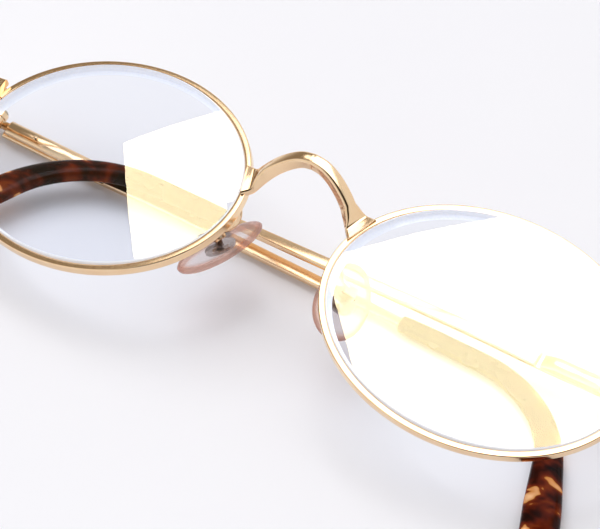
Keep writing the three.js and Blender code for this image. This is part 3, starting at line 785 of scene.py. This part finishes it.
def camera():
    data = bpy.data.cameras.new("view")
    data.lens = CAMERA_LENS
    data.sensor_width = 36
    eye = bpy.data.objects.new("view", data)
    eye.matrix_world = look_matrix()
    bpy.context.scene.collection.objects.link(eye)
    bpy.context.scene.camera = eye


def panel(name, centre, size, radiance, turn):
    data = bpy.data.lights.new(name, "AREA")
    data.shape = "RECTANGLE"
    data.size, data.size_y = size[0] * MM, size[1] * MM
    data.energy = radiance * math.pi * data.size * data.size_y
    lamp = bpy.data.objects.new(name, data)
    lamp.location = centre * MM
    lamp.rotation_euler = turn
    bpy.context.scene.collection.objects.link(lamp)
    return lamp


def softbox(name, start, size, turn, radiance, pieces, lit=True):
    """A level panel that only shows in reflections: in the given pieces, or in everything but them.

    start and size are along the panel's own edges, from CORNER.
    """
    spin = Matrix.Rotation(turn, 3, "Z")
    down, right = spin @ EDGE_DOWN, spin @ EDGE_RIGHT
    corner = CORNER + EDGE_DOWN * start[0] + EDGE_RIGHT * start[1]
    centre = corner + down * size[0] / 2 + right * size[1] / 2 + Vector((0, 0, SOFTBOX_HEIGHT))
    lamp = panel(name, centre, size, radiance, (0, 0, math.atan2(down.y, down.x)))
    lamp.visible_diffuse = False
    group = bpy.data.collections.new(name)
    for piece in pieces:
        group.objects.link(piece)
    for member in group.collection_objects:
        member.light_linking.link_state = "INCLUDE" if lit else "EXCLUDE"
    lamp.light_linking.receiver_collection = group


def softboxes(lenses):
    """Bright panels that only one lens mirrors, and dimmer ones that keep the metal's edges crisp."""
    for side, name, start, size, turn in (
        ("right", "corner", (0, 0), (136, 76), 0),
        ("right", "side", (0, 76), (112, 29), 0),
        ("right", "tail", (136, 0), (18, 52), 0),
        ("left", "whole", (112, 68), (245, 212), 4 * DEG),
    ):
        softbox(f"{side}_lens_{name}", start, size, turn, LENS_PANEL, [lenses[side]])
        softbox(f"{side}_metal_{name}", start, size, turn, METAL_PANEL, lenses.values(), lit=False)


def soft_light(name, centre, size, radiance):
    """A big soft panel aimed at the glasses that doesn't show in reflections."""
    lamp = panel(name, centre, (size, size), radiance, (-centre).to_track_quat("-Z", "Y").to_euler())
    lamp.visible_glossy = False


def world():
    """A pale studio that is dark behind the camera and dark beyond the softboxes' far side."""
    sky = bpy.data.worlds.new("studio")
    sky.use_nodes = True
    tree = sky.node_tree
    where = tree.nodes.new("ShaderNodeTexCoord")
    shades = []
    for direction, colour in (
        (CAMERA_FROM_HINGE.normalized(), [(0.70, (1, 1, 1)), (0.88, (0.05, 0.04, 0.03))]),
        (FAR_SIDE, [(0.7, (1, 1, 1)), (0.93, (0.31, 0.26, 0.20))]),
    ):
        dot = tree.nodes.new("ShaderNodeVectorMath")
        dot.operation = "DOT_PRODUCT"
        tree.links.new(where.outputs["Generated"], dot.inputs[0])
        dot.inputs[1].default_value = direction
        shades.append(add_ramp(tree, dot.outputs["Value"], colour).outputs["Color"])
    both = tree.nodes.new("ShaderNodeMix")
    both.data_type = "RGBA"
    both.blend_type = "MULTIPLY"
    both.inputs["Factor"].default_value = 1
    tree.links.new(shades[0], both.inputs["A"])
    tree.links.new(shades[1], both.inputs["B"])
    tree.links.new(both.outputs["Result"], tree.nodes["Background"].inputs["Color"])
    tree.nodes["Background"].inputs["Strength"].default_value = STUDIO_STRENGTH
    bpy.context.scene.world = sky


def floor():
    bm = bmesh.new()
    bmesh.ops.create_grid(bm, x_segments=2, y_segments=2, size=900)
    piece = finish_mesh("table_top", bm, Matrix.Scale(MM, 4))
    piece.location.z = -TABLE_GAP * MM
    material, tree, bsdf = new_material("white_table")
    mottle = add_noise(tree, 12, 3)
    colour = add_ramp(tree, mottle.outputs["Fac"], [
        (0.3, (0.86, 0.86, 0.91)), (0.7, (0.88, 0.88, 0.925)),
    ])
    tree.links.new(colour.outputs["Color"], bsdf.inputs["Base Color"])
    bsdf.inputs["Roughness"].default_value = 0.45
    bsdf.inputs["Specular IOR Level"].default_value = 0.3
    piece.data.materials.append(material)


# ---------------------------------------------------------------- assembly
bpy.context.scene.view_settings.view_transform = "Standard"
camera()
world()
floor()
soft_light("key", centre=Vector((-620, 300, 1100)), size=950, radiance=2.85)
soft_light("fill", centre=Vector((150, -50, 1500)), size=1900, radiance=0.49)
bridge()
softboxes({wearer_side: lens(wearer_side) for wearer_side in SIDES})
for wearer_side in SIDES:
    rim(wearer_side)
    end_piece(wearer_side)
    spring_housing(wearer_side)
    small_hardware(wearer_side)
    nose_pad(wearer_side)
    pad_arm(wearer_side)
    temple_strip(wearer_side)
    temple_tip(wearer_side)
